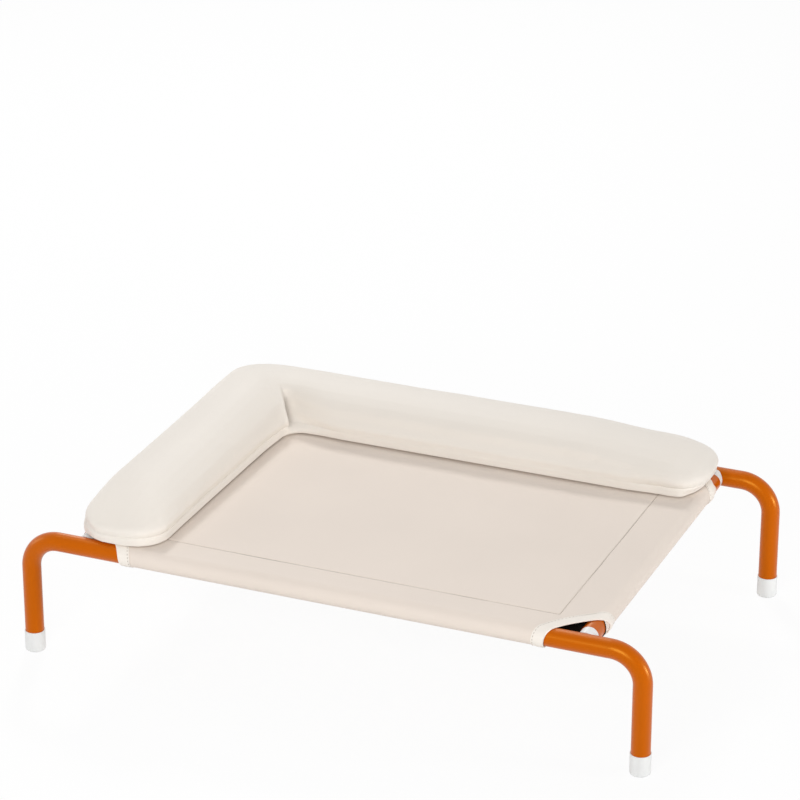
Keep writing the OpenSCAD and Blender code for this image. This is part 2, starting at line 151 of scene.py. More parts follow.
# Saddles hold the ends of the cross tubes against the rails, and feet cap the legs. Both are moulded
# in white polypropylene, with a fine spark finish from the tool and a slight bloom.
CAPS = [end + "_" + side + "_" + cap
        for cap in ("saddle", "foot") for end in ("front", "back") for side in ("left", "right")]
white_plastic, tree, shader = new_material("white_plastic", Specular_IOR_Level=0.4)
tone = add_node(
    tree, "Group", {"Color": colour("#e4e5e4"), "Scale": 30.0, "Amount": 0.06}, node_tree=mottle)
spark = add_node(tree, "Group", {"Scale": 1400.0, "Amount": 1.0}, node_tree=mottle)
gloss = add_node(
    tree, "MapRange", {"Value": spark.outputs["Value"], "To Min": 0.34, "To Max": 0.52})
grit = add_node(
    tree, "Bump", {"Height": spark.outputs["Value"], "Strength": 0.12, "Distance": 0.0002})
wire(tree, shader, Base_Color=tone.outputs["Color"], Roughness=gloss.outputs["Result"],
     Normal=grit.outputs["Normal"])
for name in CAPS:
    dress(frame["nodes"][name], white_plastic)

# The sling is one piece of cream coated canvas, cut as a cross and pulled tight. Its four flaps go
# over the tubes from outside, come back under the panel and are sewn to it, so each makes a sleeve.
# The rows of topstitching pull fine grooves into the panel. The inside of the sleeves is near black,
# painted shade that stands in for the deep shade within them.
panel_low, panel_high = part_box("sling_panel")
cross_low, cross_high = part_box("right_cross_tube")
rail_z = (cross_low.z + cross_high.z) / 2
cross_x = panel_high.x
rail_y = panel_high.y
sling_z = panel_high.z
cloth = panel_high.z - panel_low.z
wrap_r = sling_z - rail_z
hem = 0.008
rail_seam = rail_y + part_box("front_sleeve")[1].y - hem
cross_seam = cross_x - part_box("right_sleeve")[0].x - hem
stitch_x = cross_x - cross_seam
stitch_y = rail_y - rail_seam
hem_drop = wrap_r - 2 * cloth
rail_cut = {-1: 0.283, 1: 0.293}
cross_cut = 0.212
cross_flare = -0.008
flare_run = 0.022
flare_reach = 0.05
wrap_rows = 24
run_rows = 6
hem_rows = 2
grid_step = 0.006
groove_half = 0.0017
groove_depth = 0.0009
sag = 0.0018
ripple_height = 0.0003
same_place = 0.00001
fold_angle = math.radians(40)


def leave_angle(seam):
    """How far a flap turns round its tube before it runs straight up to its seam."""
    return 2 * math.pi - math.atan2(seam, hem_drop) - math.acos(wrap_r / math.hypot(seam, hem_drop))


def straight_run(seam):
    """How far a flap runs straight, from where it leaves its tube to its seam."""
    return math.sqrt(seam ** 2 + hem_drop ** 2 - wrap_r ** 2)


def past_crest(way, seam, rise):
    """Where cloth some way past the crest of its tube lies, outwards and up from the tube's axis."""
    leave = leave_angle(seam)
    turn = min(way / wrap_r, leave)
    straight = way - turn * wrap_r
    run = min(straight, straight_run(seam))
    out = (wrap_r + rise) * math.sin(turn) + run * math.cos(leave) - (straight - run)
    up = (wrap_r + rise) * math.cos(turn) - run * math.sin(leave)
    return out, up


def wrapped(x, y, rise=0.0):
    """Where a point of the flat cut lies once its flap is round the tube, lifted off the cloth by rise."""
    if abs(y) > rail_y:
        out, up = past_crest(abs(y) - rail_y, rail_seam, rise)
        return Vector((x, math.copysign(rail_y + out, y), rail_z + up))
    if abs(x) > cross_x:
        out, up = past_crest(abs(x) - cross_x, cross_seam, rise)
        return Vector((math.copysign(cross_x + out, x), y, rail_z + up))
    return Vector((x, y, sling_z + rise))


def panel_z(x, y):
    """Level of the sling's upper side, which sags a little between its tubes."""
    inside = max(0.0, 1 - (x / cross_x) ** 2) * max(0.0, 1 - (y / rail_y) ** 2)
    return sling_z - sag * inside


def flap_rows(seam):
    """Widths of the rows that a flap is drawn out in: round the tube, along the run and the hem."""
    around = leave_angle(seam) * wrap_r
    spans = ((around, wrap_rows), (straight_run(seam), run_rows), (hem, hem_rows))
    return [length / count for length, count in spans for _ in range(count)]


def smooth_step(low, high, value):
    """Eases from 0 at low to 1 at high."""
    share = min(max((value - low) / (high - low), 0.0), 1.0)
    return share * share * (3 - 2 * share)


def select_edges(piece, wanted):
    """Selects the edges, in edit mode, whose middle passes the test."""
    bpy.ops.mesh.select_all(action="DESELECT")
    mesh = bmesh.from_edit_mesh(piece.data)
    for edge in mesh.edges:
        edge.select_set(wanted((edge.verts[0].co + edge.verts[1].co) / 2, edge))
    bmesh.update_edit_mesh(piece.data)


def cut_all(place, normal, **what):
    """Bisects the whole piece in edit mode."""
    bpy.ops.mesh.select_all(action="SELECT")
    bpy.ops.mesh.bisect(plane_co=place, plane_no=normal, **what)


def apply_modifier(piece, kind, **settings):
    """Adds a modifier with these settings and applies it."""
    bpy.context.view_layer.objects.active = piece
    modifier = piece.modifiers.new(kind.lower(), kind)
    for name, value in settings.items():
        setattr(modifier, name, value)
    bpy.ops.object.modifier_apply(modifier=modifier.name)


bpy.ops.object.select_all(action="DESELECT")
bpy.ops.mesh.primitive_grid_add(
    x_subdivisions=round(2 * cross_x / grid_step), y_subdivisions=round(2 * rail_y / grid_step), size=2)
sling = bpy.context.object
sling.name = "sling"
bpy.ops.object.mode_set(mode="EDIT")
bpy.ops.transform.resize(value=(cross_x, rail_y, 1))
for side in (-1, 1):
    for end in (-1, 1):
        cut_all((side * rail_cut[side], end * rail_y, 0),
                (side * (rail_y - cross_cut), end * (cross_x - rail_cut[side]), 0), clear_outer=True)
bpy.ops.mesh.select_mode(type="EDGE")
flaps = ((Vector((0, 1, 0)), rail_y, rail_seam), (Vector((1, 0, 0)), cross_x, cross_seam))
for way, edge_at, seam in flaps:
    for side in (-1, 1):
        select_edges(sling, lambda middle, edge: (
            edge.is_boundary and abs(middle.dot(way) * side - edge_at) < same_place))
        for row in flap_rows(seam):
            bpy.ops.mesh.extrude_region_move(TRANSFORM_OT_translate={"value": way * side * row})
for side in (-1, 1):
    for off in (-groove_half, 0, groove_half):
        cut_all((side * stitch_x + off, 0, 0), (1, 0, 0))
        cut_all((0, side * stitch_y + off, 0), (0, 1, 0))
bpy.ops.object.mode_set(mode="OBJECT")

flat_cut = [2 * (cross_x + sum(flap_rows(cross_seam))), 2 * (rail_y + sum(flap_rows(rail_seam)))]
cut_map = sling.data.uv_layers.active.data
for loop in sling.data.loops:
    cut_map[loop.index].uv = sling.data.vertices[loop.vertex_index].co.xy


def groove(across, line, along, reach):
    """Depth of the groove that a row of stitches pulls, for a point this far across and along it."""
    if along > reach:
        return 0.0
    return groove_depth * max(0.0, 1 - abs(abs(across) - line) / (1.01 * groove_half))


for vertex in sling.data.vertices:
    x, y, _ = vertex.co
    inside = (sling_z - panel_z(x, y)) / sag
    rise = -sag * inside
    rise -= max(groove(x, stitch_x, abs(y), stitch_y), groove(y, stitch_y, abs(x), stitch_x))
    rise += ripple_height * noise.noise(vertex.co * 14) * smooth_step(0, 0.2, inside)
    if abs(x) > cross_x:
        flare = cross_flare * smooth_step(0, flare_run, abs(x) - cross_x)
        y += math.copysign(flare * smooth_step(cross_cut - flare_reach, cross_cut, abs(y)), y)
    vertex.co = wrapped(x, y, rise)

weave, given, result = new_group(
    "weave", [("Vector", "Vector"), ("Threads", "Float")], [("Height", "Float")])
axes = add_node(weave, "SeparateXYZ", {0: given["Vector"]}).outputs
rows = []
for axis in ("X", "Y"):
    slanted = add_node(weave, "Math", {0: axes[axis], 1: axes["Z"]}, operation="ADD")
    turned = add_node(weave, "Math", {0: slanted.outputs[0], 1: given["Threads"]}, operation="MULTIPLY")
    rows.append(add_node(weave, "Math", {0: turned.outputs[0]}, operation="SINE").outputs[0])
crossing = add_node(weave, "Math", {0: rows[0], 1: rows[1]}, operation="MULTIPLY")
lifted = add_node(weave, "Math", {0: crossing.outputs[0], 1: 0.5, 2: 0.5}, operation="MULTIPLY_ADD")
weave.links.new(lifted.outputs[0], result["Height"])


def woven(name, cloth_colour, pitch, depth, on_map=False, amount=0.07, rough=(0.62, 0.8), **plain):
    """A woven cloth of some thread pitch, on the piece's own map or on its place."""
    material, tree, shader = new_material(name, **plain)
    spot = add_node(tree, "TexCoord").outputs["UV" if on_map else "Object"]
    threads = add_node(
        tree, "Group", {"Vector": spot, "Threads": 2 * math.pi / pitch}, node_tree=weave)
    tone = add_node(
        tree, "Group", {"Color": colour(cloth_colour), "Scale": 7.0, "Amount": amount}, node_tree=mottle)
    # Painted shade: the cloth's colour is a little darker where the weave lies low between the threads.
    valley_shade = add_node(
        tree, "MapRange", {"Value": threads.outputs["Height"], "To Min": 0.95, "To Max": 1.02})
    mottle_and_valley_shade = add_node(
        tree, "VectorMath", {0: tone.outputs["Color"], "Scale": valley_shade.outputs["Result"]}, operation="SCALE")
    dull = add_node(
        tree, "MapRange", {"Value": threads.outputs["Height"], "To Min": rough[1], "To Max": rough[0]})
    relief = add_node(
        tree, "Bump", {"Height": threads.outputs["Height"], "Strength": 0.25, "Distance": depth})
    wire(tree, shader, Base_Color=mottle_and_valley_shade.outputs[0], Roughness=dull.outputs["Result"],
         Normal=relief.outputs["Normal"])
    return material


canvas = woven("canvas", "#e4d8cd", 0.0009, 0.00015, on_map=True,
               Sheen_Weight=0.12, Sheen_Roughness=0.5, Specular_IOR_Level=0.25)
# The lining is painted shade: a near-black cloth where the sleeves and pockets lie in deep shade.
painted_shade_lining = woven("painted_shade_lining", "#17130f", 0.0008, 0.0001, Sheen_Weight=0.05, Specular_IOR_Level=0.1)
dress(sling, canvas)
sling.data.materials.append(painted_shade_lining)
apply_modifier(sling, "SOLIDIFY", thickness=cloth, offset=-1, material_offset=1, material_offset_rim=1)
bpy.ops.object.shade_smooth_by_angle(angle=fold_angle)
for face in sling.data.polygons:
    if abs(face.center.x) < stitch_x and abs(face.center.y) < stitch_y:
        face.material_index = 0
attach(sling, "frame")
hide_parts("sling_panel", "front_sleeve", "back_sleeve", "left_sleeve", "right_sleeve")

# Under each corner a small facing closes the gap between the ends of two sleeves, so the mouth of the
# sling is a pocket. It is the same canvas, near black on its upper side as painted shade in the pocket.
facing_rows = 8
facing_rise = -1.2 * cloth
facing_thick = 0.6 * cloth
for end_name, end in (("front", -1), ("back", 1)):
    for side_name, side in (("left", -1), ("right", 1)):
        bpy.ops.object.select_all(action="DESELECT")
        bpy.ops.mesh.primitive_grid_add(x_subdivisions=facing_rows, y_subdivisions=facing_rows, size=2)
        facing = bpy.context.object
        facing.name = end_name + "_" + side_name + "_facing"
        for vertex in facing.data.vertices:
            over, up = (vertex.co.x + 1) / 2, (vertex.co.y + 1) / 2
            along_rail = leave_angle(rail_seam) * wrap_r + up * straight_run(rail_seam)
            along_cross = leave_angle(cross_seam) * wrap_r + up * straight_run(cross_seam)
            on_rail = wrapped(rail_cut[side], rail_y + along_rail, facing_rise)
            on_cross = wrapped(cross_x + along_cross, cross_cut + cross_flare, facing_rise)
            spot = on_rail.lerp(on_cross, over)
            vertex.co = (side * spot.x, end * spot.y, spot.z)
        bpy.ops.object.mode_set(mode="EDIT")
        bpy.ops.mesh.select_all(action="SELECT")
        bpy.ops.mesh.normals_make_consistent(inside=False)
        if bmesh.from_edit_mesh(facing.data).faces[:][0].normal.z < 0:
            bpy.ops.mesh.flip_normals()
        bpy.ops.object.mode_set(mode="OBJECT")
        dress(facing, painted_shade_lining)
        facing.data.materials.append(canvas)
        apply_modifier(facing, "SOLIDIFY", thickness=facing_thick, offset=-1, material_offset=1,
                       material_offset_rim=1)
        bpy.ops.object.shade_smooth_by_angle(angle=fold_angle)
        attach(facing, "frame")

# A pale folded tape binds each corner cut-out. It runs along the end of the rail sleeve, over the
# panel's corner and round the end of the cross sleeve, so both tubes come out of one soft collar.
tape_thick = 0.0007
tape_width = 0.0165
tape_row = 0.0143
tape_ripple = 0.0002
collar_lift = 0.0010
collar_from = (0.56, 0.68)
look_ahead = 0.004
cross_route = [(0.3320, 0.2364), (0.3420, 0.2281), (0.3500, 0.2215), (0.3585, 0.2130), (0.3680, 0.2075),
               (0.3790, 0.2095), (0.3930, 0.2130), (0.4100, 0.2140), (0.4300, 0.2140)]
tape_route = {
    -1: [(0.2870, 0.350), (0.2870, 0.318), (0.2872, 0.292), (0.2900, 0.2775), (0.2985, 0.2640),
         (0.3140, 0.2490)] + cross_route,
    1: [(0.2965, 0.350), (0.2965, 0.318), (0.2967, 0.292), (0.2995, 0.2775), (0.3070, 0.2645),
        (0.3185, 0.2497)] + cross_route}
tape_section = [(tape_width, 0.00040), (0.0156, 0.00060), (tape_row, 0.00022), (0.0128, 0.00070),
                (0.0095, 0.0009), (0.0055, 0.0009), (0.0022, 0.00085), (0.0007, 0.00062),
                (0.0000, 0.00015), (0.0000, -0.00035), (0.0006, -0.00075), (0.0014, -0.00080)]
tape_steps = 130


def route_point(route, share):
    """A point of the smooth curve through the points of a route, at a share of its way."""
    spans = len(route) - 1
    span = min(int(share * spans), spans - 1)
    t = share * spans - span
    a, b, c, d = (Vector(route[min(max(span + i, 0), spans)]) for i in (-1, 0, 1, 2))
    slope = (c - a) * t
    bend = (2 * a - 5 * b + 4 * c - d) * t ** 2
    swerve = (3 * b - a - 3 * c + d) * t ** 3
    return 0.5 * (2 * b + slope + bend + swerve)


def route_frame(route, share):
    """A point of a route and the direction square to it, towards the middle of the sling."""
    here = route_point(route, share)
    before = route_point(route, max(share - look_ahead, 0))
    ahead = route_point(route, min(share + look_ahead, 1)) - before
    return here, Vector((ahead.y, -ahead.x)).normalized()


tape_cloth = woven("tape_cloth", "#efe8df", 0.0007, 0.0001, Sheen_Weight=0.15, Sheen_Roughness=0.4,
                   Specular_IOR_Level=0.25)
for end_name, end in (("front", -1), ("back", 1)):
    for side_name, side in (("left", -1), ("right", 1)):
        bpy.ops.object.select_all(action="DESELECT")
        bpy.ops.mesh.primitive_grid_add(
            x_subdivisions=tape_steps, y_subdivisions=len(tape_section) - 1, size=2)
        binding = bpy.context.object
        binding.name = end_name + "_" + side_name + "_tape"
        for vertex in binding.data.vertices:
            share = (vertex.co.x + 1) / 2
            wide, high = tape_section[round((vertex.co.y + 1) / 2 * (len(tape_section) - 1))]
            here, across = route_frame(tape_route[side], share)
            high += tape_ripple * noise.noise(Vector((share * 60, wide * 200, end + side * 3)))
            high += collar_lift * (1 - wide / tape_width) * smooth_step(*collar_from, share)
            spot = wrapped(*(here + across * wide), high)
            vertex.co = (side * spot.x, end * spot.y, spot.z)
        bpy.ops.object.mode_set(mode="EDIT")
        bpy.ops.mesh.select_all(action="SELECT")
        bpy.ops.mesh.normals_make_consistent(inside=False)
        bpy.ops.object.mode_set(mode="OBJECT")
        apply_modifier(binding, "SOLIDIFY", thickness=tape_thick, offset=0)
        apply_modifier(binding, "SUBSURF", levels=1, render_levels=1)
        bpy.ops.object.shade_smooth()
        dress(binding, tape_cloth)
        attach(binding, "frame")
        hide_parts(end_name + "_" + side_name + "_binding")

# The stitching is beige polyester thread. Each stitch is a short length that dips into the cloth at
# both ends: four rows hold the sleeves, and a row along the inner edge holds each tape.
stitch_pitch = 0.0034
stitch_half = 0.0014
stitch_share = 0.002
thread_r = 0.00033
tape_row_lift = 0.0008
tape_row_count = 60
bpy.ops.object.select_all(action="DESELECT")
bpy.ops.mesh.primitive_cylinder_add(
    vertices=6, radius=thread_r, depth=2 * stitch_half, end_fill_type="TRIFAN",
    rotation=(0, math.pi / 2, 0))
stitch = bpy.context.object
bpy.ops.object.transform_apply(location=False, rotation=True, scale=False)
bpy.ops.object.mode_set(mode="EDIT")
for off in (-0.5, 0.5):
    cut_all((off * stitch_half, 0, 0), (1, 0, 0))
bpy.ops.object.mode_set(mode="OBJECT")
for vertex in stitch.data.vertices:
    vertex.co.z -= thread_r * 1.6 * (vertex.co.x / stitch_half) ** 2


def repeat(pattern, name, places):
    """One piece made of a copy of the pattern's mesh at each place."""
    points, faces = [], []
    for place in places:
        first = len(points)
        points += [place @ vertex.co for vertex in pattern.data.vertices]
        faces += [[first + i for i in face.vertices] for face in pattern.data.polygons]
    mesh = bpy.data.meshes.new(name)
    mesh.from_pydata(points, [], faces)
    piece = bpy.data.objects.new(name, mesh)
    bpy.context.scene.collection.objects.link(piece)
    bpy.ops.object.select_all(action="DESELECT")
    piece.select_set(True)
    bpy.context.view_layer.objects.active = piece
    bpy.ops.object.shade_smooth()
    return piece


def seat(spot, along, up):
    """Places a pattern at a spot, with its length along one direction and its top up."""
    along = along.normalized()
    aside = up.cross(along).normalized()
    up = along.cross(aside)
    turn = Matrix((along, aside, up)).transposed().to_4x4()
    return Matrix.Translation(spot) @ turn


def row_places(start, finish):
    """Places of the stitches of a straight row, on the bottom of their groove in the panel."""
    way = finish - start
    count = round(way.length / stitch_pitch)
    for i in range(count):
        spot = start + way * ((i + 0.5) / count)
        spot.z = panel_z(spot.x, spot.y) - groove_depth + 0.8 * thread_r
        yield seat(spot, way, Vector((0, 0, 1)))


places = []
for side in (-1, 1):
    places += row_places(*(Vector((end * stitch_x, side * stitch_y, 0)) for end in (-1, 1)))
    places += row_places(*(Vector((side * stitch_x, end * stitch_y, 0)) for end in (-1, 1)))
sleeve_stitching = repeat(stitch, "sleeve_stitching", places)

places = []
for side in (-1, 1):
    for end in (-1, 1):
        for i in range(tape_row_count):
            share = (i + 0.5) / tape_row_count
            spots = []
            for step in (-stitch_share, stitch_share):
                here, across = route_frame(tape_route[side], share + step)
                spots.append(here + across * tape_row)
            first, last = (wrapped(*spot, tape_row_lift) for spot in spots)
            lifted = wrapped(*spots[0], tape_row_lift + 0.001)
            flip = Vector((side, end, 1))
            places.append(seat((first + last) / 2 * flip, (last - first) * flip, (lifted - first) * flip))
tape_stitching = repeat(stitch, "tape_stitching", places)
bpy.data.objects.remove(stitch)

thread, tree, shader = new_material("thread", Specular_IOR_Level=0.3, Sheen_Weight=0.2)
ply = add_node(tree, "TexWave", {"Vector": add_node(tree, "TexCoord").outputs["Object"], "Scale": 900.0})
tone = add_node(
    tree, "Group", {"Color": colour("#998a7a"), "Scale": 90.0, "Amount": 0.25}, node_tree=mottle)
twist = add_node(tree, "Bump", {"Height": ply.outputs["Fac"], "Strength": 0.3, "Distance": 0.0001})
fuzz = add_node(tree, "MapRange", {"Value": tone.outputs["Value"], "To Min": 0.5, "To Max": 0.7})
wire(tree, shader, Base_Color=tone.outputs["Color"], Roughness=fuzz.outputs["Result"],
     Normal=twist.outputs["Normal"])
for rows, cloth_slot in ((sleeve_stitching, "sling_cloth"), (tape_stitching, "binding_cloth")):
    dress(rows, thread)
    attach(rows, "frame")

# Three strips of beige loop tape are sewn to the sling, and three of hook tape to the bolster's base
# above them. They grip each other and keep the bolster in its place.
strip_low, strip_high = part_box("loop_strips")
hook_low, hook_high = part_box("hook_strips")
strip_length = 0.12
strip_width = 0.025
selvedge = 0.002
ground_share = 0.25
seat_gap = 0.0017
middle_strip_x = -0.06825
strip_places = [
    (middle_strip_x, strip_high.y - strip_width / 2, 0),
    (strip_high.x - strip_length / 2, strip_high.y - strip_width / 2, 0),
    (strip_low.x + strip_width / 2, strip_low.y + strip_length / 2, 90)]


def sewn_strips(name, low, high, pile_up, body, stands_for):
    """The three strips of one tape: a flat ground with a raised nap of small tufts in rows."""
    bpy.ops.object.select_all(action="DESELECT")
    bpy.ops.mesh.primitive_grid_add(x_subdivisions=80, y_subdivisions=18, size=2)
    one = bpy.context.object
    bpy.ops.object.mode_set(mode="EDIT")
    bpy.ops.transform.resize(value=(strip_length / 2, strip_width / 2, 1))
    bpy.ops.object.mode_set(mode="OBJECT")
    thick = high - low
    for vertex in one.data.vertices:
        inset = min(strip_length / 2 - abs(vertex.co.x), strip_width / 2 - abs(vertex.co.y))
        nap = 0.4 + 0.3 * noise.noise(vertex.co * 900) if inset > selvedge else ground_share
        vertex.co.z = thick * min(nap, 0.7)
    apply_modifier(one, "SOLIDIFY", thickness=ground_share * thick, offset=-1)
    flip = Matrix.Scale(pile_up, 4, Vector((0, 0, 1)))
    ground = low if pile_up > 0 else high
    places = [Matrix.Translation((x, y, ground)) @ Matrix.Rotation(math.radians(turn), 4, "Z") @ flip
              for x, y, turn in strip_places]
    strips = repeat(one, name, places)
    bpy.data.objects.remove(one)
    if pile_up < 0:
        bpy.ops.object.mode_set(mode="EDIT")
        bpy.ops.mesh.select_all(action="SELECT")
        bpy.ops.mesh.flip_normals()
        bpy.ops.object.mode_set(mode="OBJECT")
    dress(strips, hook_tape)
    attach(strips, body)
    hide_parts(stands_for)
    return strips


hook_tape = woven("hook_tape", "#d8cdbd", 0.0011, 0.0002, amount=0.12, rough=(0.7, 0.95),
                  Sheen_Weight=0.3, Specular_IOR_Level=0.2)
loop_tape = sewn_strips("loop_tape", strip_low.z, strip_high.z, 1, "frame", "loop_strips")
seat_z = sling_z + seat_gap
sewn_strips("hook_rows", seat_z - (hook_high.z - hook_low.z), seat_z, -1, "bolster", "hook_strips")

# The bolster is an L-shaped tube of smooth cream upholstery cloth, stuffed tight with loose fibre. A
# crowned top is sewn to a narrow upright band and a flat base, and the seam pulls a fine groove all
# round. Where the arms meet, the cloth folds into a soft valley at the inner corner.
seam_drop = 0.0015
seam_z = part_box("bolster_cover")[0].z - seam_drop
inner_corner = Vector((-0.229, 0.135))
voxel = 0.004
settle_steps = 20
swell_top = 0.0034
swell_band = 0.0011
seam_groove = 0.0016
seam_half = 0.0016

core = frame["nodes"]["bolster_core"]
bolster = bpy.data.objects.new("bolster", core.data.copy())
bpy.context.scene.collection.objects.link(bolster)
bpy.ops.object.select_all(action="DESELECT")
bolster.select_set(True)
bpy.context.view_layer.objects.active = bolster
bpy.ops.mesh.customdata_custom_splitnormals_clear()
bpy.ops.object.mode_set(mode="EDIT")
bpy.ops.mesh.select_all(action="SELECT")
bpy.ops.mesh.remove_doubles(threshold=0.00002)
bpy.ops.object.mode_set(mode="OBJECT")
bolster.data.remesh_voxel_size = voxel
bpy.ops.object.voxel_remesh()
unstuffed = [vertex.co.copy() for vertex in bolster.data.vertices]
stuffing = bolster.modifiers.new("stuffing", "CLOTH")
stuffing.settings.use_pressure = True
stuffing.settings.uniform_pressure_force = 4
stuffing.settings.effector_weights.gravity = 0
stuffing.point_cache.frame_end = settle_steps
for step in range(1, settle_steps + 1):
    bpy.context.scene.frame_set(step)
bpy.ops.object.modifier_apply(modifier="stuffing")
bpy.context.scene.frame_set(1)
for vertex, start in zip(bolster.data.vertices, unstuffed):
    most = swell_band + (swell_top - swell_band) * smooth_step(seam_z - 0.001, seam_z + 0.002, start.z)
    move = vertex.co - start
    if move.length > most:
        vertex.co = start + move * (most / move.length)
apply_modifier(bolster, "SUBSURF", levels=1, render_levels=1)

band_z = seam_z - 0.0045
band_rows = 3
band_step = (0, 0, (seat_z - band_z) / band_rows)
base_round = 0.0013
base_inset = 0.012
bpy.ops.object.mode_set(mode="EDIT")
bpy.ops.mesh.select_mode(type="EDGE")
cut_all((0, 0, band_z), (0, 0, 1), clear_inner=True)
bpy.ops.mesh.select_all(action="SELECT")
bpy.ops.mesh.remove_doubles(threshold=0.0004)
select_edges(bolster, lambda middle, edge: edge.is_boundary)
for row in range(band_rows):
    bpy.ops.mesh.extrude_region_move(TRANSFORM_OT_translate={"value": band_step})
bpy.ops.mesh.edge_face_add()
select_edges(bolster, lambda middle, edge: abs(middle.z - seat_z) < same_place)
bpy.ops.mesh.bevel(offset=base_round, segments=3)
bpy.ops.mesh.select_mode(type="FACE")
bpy.ops.mesh.select_all(action="DESELECT")
mesh = bmesh.from_edit_mesh(bolster.data)
base = max(mesh.faces, key=lambda face: len(face.verts))
base.select_set(True)
bmesh.update_edit_mesh(bolster.data)
bpy.ops.mesh.inset(thickness=base_inset)
bpy.ops.mesh.select_mode(type="EDGE")
for off in (-seam_half, 0, seam_half):
    cut_all((0, 0, seam_z + off), (0, 0, 1))
bpy.ops.mesh.select_all(action="SELECT")
bpy.ops.mesh.normals_make_consistent(inside=False)
bpy.ops.object.mode_set(mode="OBJECT")


def bump(value, centre, width):
    """A smooth hump of height 1."""
    return math.exp(-((value - centre) / width) ** 2)


# Where the cloth moves along the arms, and how far: at the seam, at both ends and in the crease
roll_from = (-0.21, -0.15)
roll_to = (0.25, 0.31)
roll_over = 0.0042
corner_fill = 0.0035
corner_reach = 0.045
seam_dip = 0.0012
seam_pillow = 0.0018
pucker = 0.00045
lumps = 0.0011
front_end_y = (0.235, 0.268)
foot_lean = 0.0040
seam_lean = 0.0020
outer_side_x = (0.335, 0.355)
full_y = (0.17, 0.24)
side_fill = 0.0045
droop_y = (0.222, 0.250)
end_droop = 0.0045
tuck_x = (0.325, 0.352)
end_tuck = 0.009
low_from = (0.17, 0.27)
low_to = (0.33, 0.36)
crown_drop = 0.0055
crease_lip = (-0.007, 0.002)
crease_flank = (0.002, 0.050)
crease_reach = 0.058
crease_depth = 0.027
valley = Vector((-1, 1)).normalized()
outwards = [vertex.normal.copy() for vertex in bolster.data.vertices]
for vertex, out in zip(bolster.data.vertices, outwards):
    spot = vertex.co.copy()
    x, y, z = spot
    level = Vector((out.x, out.y, 0))
    steep = level.length
    aside = level.normalized()
    upright = smooth_step(0.5, 0.9, steep)
    low = 1 - smooth_step(seam_z + 0.004, seam_z + 0.020, z)
    from_corner = Vector((x, y)) - inner_corner

    # Along the back arm the stuffing rolls over the seam, and at the inner corner too
    rolled = smooth_step(*roll_from, x) * (1 - smooth_step(*roll_to, x)) * smooth_step(0.2, 0.7, -out.y)
    spot += aside * low * smooth_step(0.05, 0.3, steep) * (
        roll_over * rolled + corner_fill * (1 - rolled) * bump(from_corner.length, 0, corner_reach))
    near_seam = max(0.0, 1 - abs(z - seam_z) / (1.05 * seam_half))
    pulled = (1 - 0.85 * rolled) * (seam_groove * near_seam + seam_dip * bump(z, seam_z, 0.0045))
    spot -= aside * upright * (pulled - seam_pillow * bump(z, seam_z + 0.009, 0.007))
    spot += level * pucker * noise.noise(vertex.co * 110) * bump(z, seam_z, 0.006) * upright
    spot += out * lumps * noise.noise(vertex.co * 11) * smooth_step(seam_z, seam_z + 0.02, z)

    # The front end leans out and droops, its outer side is full, and the right end is tucked in
    lean = smooth_step(*front_end_y, -y) * (1 - smooth_step(seam_z + 0.012, seam_z + 0.038, z))
    spot.y -= (foot_lean + seam_lean * smooth_step(seat_z, seam_z, z)) * lean
    outer_side = smooth_step(*outer_side_x, -x)
    full = outer_side * smooth_step(*full_y, -y)
    spot.x -= side_fill * full * (1 - smooth_step(seam_z, seam_z + 0.018, z))
    droop = outer_side * smooth_step(*droop_y, -y)
    spot.z -= end_droop * droop * (1 - smooth_step(seat_z, seam_z + 0.006, z))
    tucked = smooth_step(*tuck_x, x) * (1 - smooth_step(seat_z + 0.002, seam_z + 0.001, z))
    spot.x -= end_tuck * tucked
    lowered = smooth_step(*low_from, x) * (1 - smooth_step(*low_to, x))
    spot.z -= crown_drop * lowered * smooth_step(seam_z + 0.01, seam_z + 0.035, z)

    # The arms meet in a crease at the inner corner, which the left arm partly hides
    down, beside = from_corner.dot(valley), from_corner.cross(valley)
    crease = smooth_step(*crease_lip, beside) * (1 - smooth_step(*crease_flank, beside))
    crease *= (1 - smooth_step(0.0, crease_reach, down)) * smooth_step(seat_z + 0.003, seam_z + 0.008, z)
    spot += valley.to_3d() * crease_depth * crease
    vertex.co = spot
bpy.ops.object.shade_smooth()
upholstery = woven("upholstery", "#e9e2d9", 0.0007, 0.00008, amount=0.05, rough=(0.55, 0.72),
                   Sheen_Weight=0.2, Sheen_Roughness=0.45, Specular_IOR_Level=0.25)
dress(bolster, upholstery)
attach(bolster, "bolster")
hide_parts("bolster_cover", "bolster_band", "bolster_base", "bolster_core")

# A zip in the back of the band opens the cover for washing. Its nylon coil is sewn to a narrow tape,
# and a small die-cast slider with a loose pull runs along it.
zip_low, zip_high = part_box("zip_teeth")
zip_z = (zip_low.z + zip_high.z) / 2
coil_pitch = 0.0022
coil_half = 0.0008
tooth_size = (0.0013, 0.0009, 0.0021)
tooth_round = 0.0003
web_thick = 0.0004
web_rest = 0.0005
web_ripple = 0.00015
web_edge_drop = 0.0002
bpy.ops.object.select_all(action="DESELECT")
bpy.ops.mesh.primitive_cube_add(size=1, scale=tooth_size)
tooth = bpy.context.object
bpy.ops.object.transform_apply(location=True, rotation=True, scale=True)
apply_modifier(tooth, "BEVEL", width=tooth_round, segments=1)
count = int((zip_high.x - zip_low.x) / coil_pitch)
places = []
for i in range(count):
    for row, shift in ((-1, 0), (1, 0.5)):
        along = zip_low.x + (i + 0.25 + shift) * coil_pitch
        places.append(Matrix.Translation(
            (along, zip_high.y - tooth_size[1] / 2, zip_z + row * coil_half)))
zip_coil = repeat(tooth, "zip_coil", places)
bpy.data.objects.remove(tooth)
bpy.ops.object.select_all(action="DESELECT")
bpy.ops.mesh.primitive_grid_add(x_subdivisions=110, y_subdivisions=8, size=2, rotation=(math.pi / 2, 0, 0))
zip_tape = bpy.context.object
zip_tape.name = "zip_tape"
bpy.ops.object.transform_apply(location=False, rotation=True, scale=False)
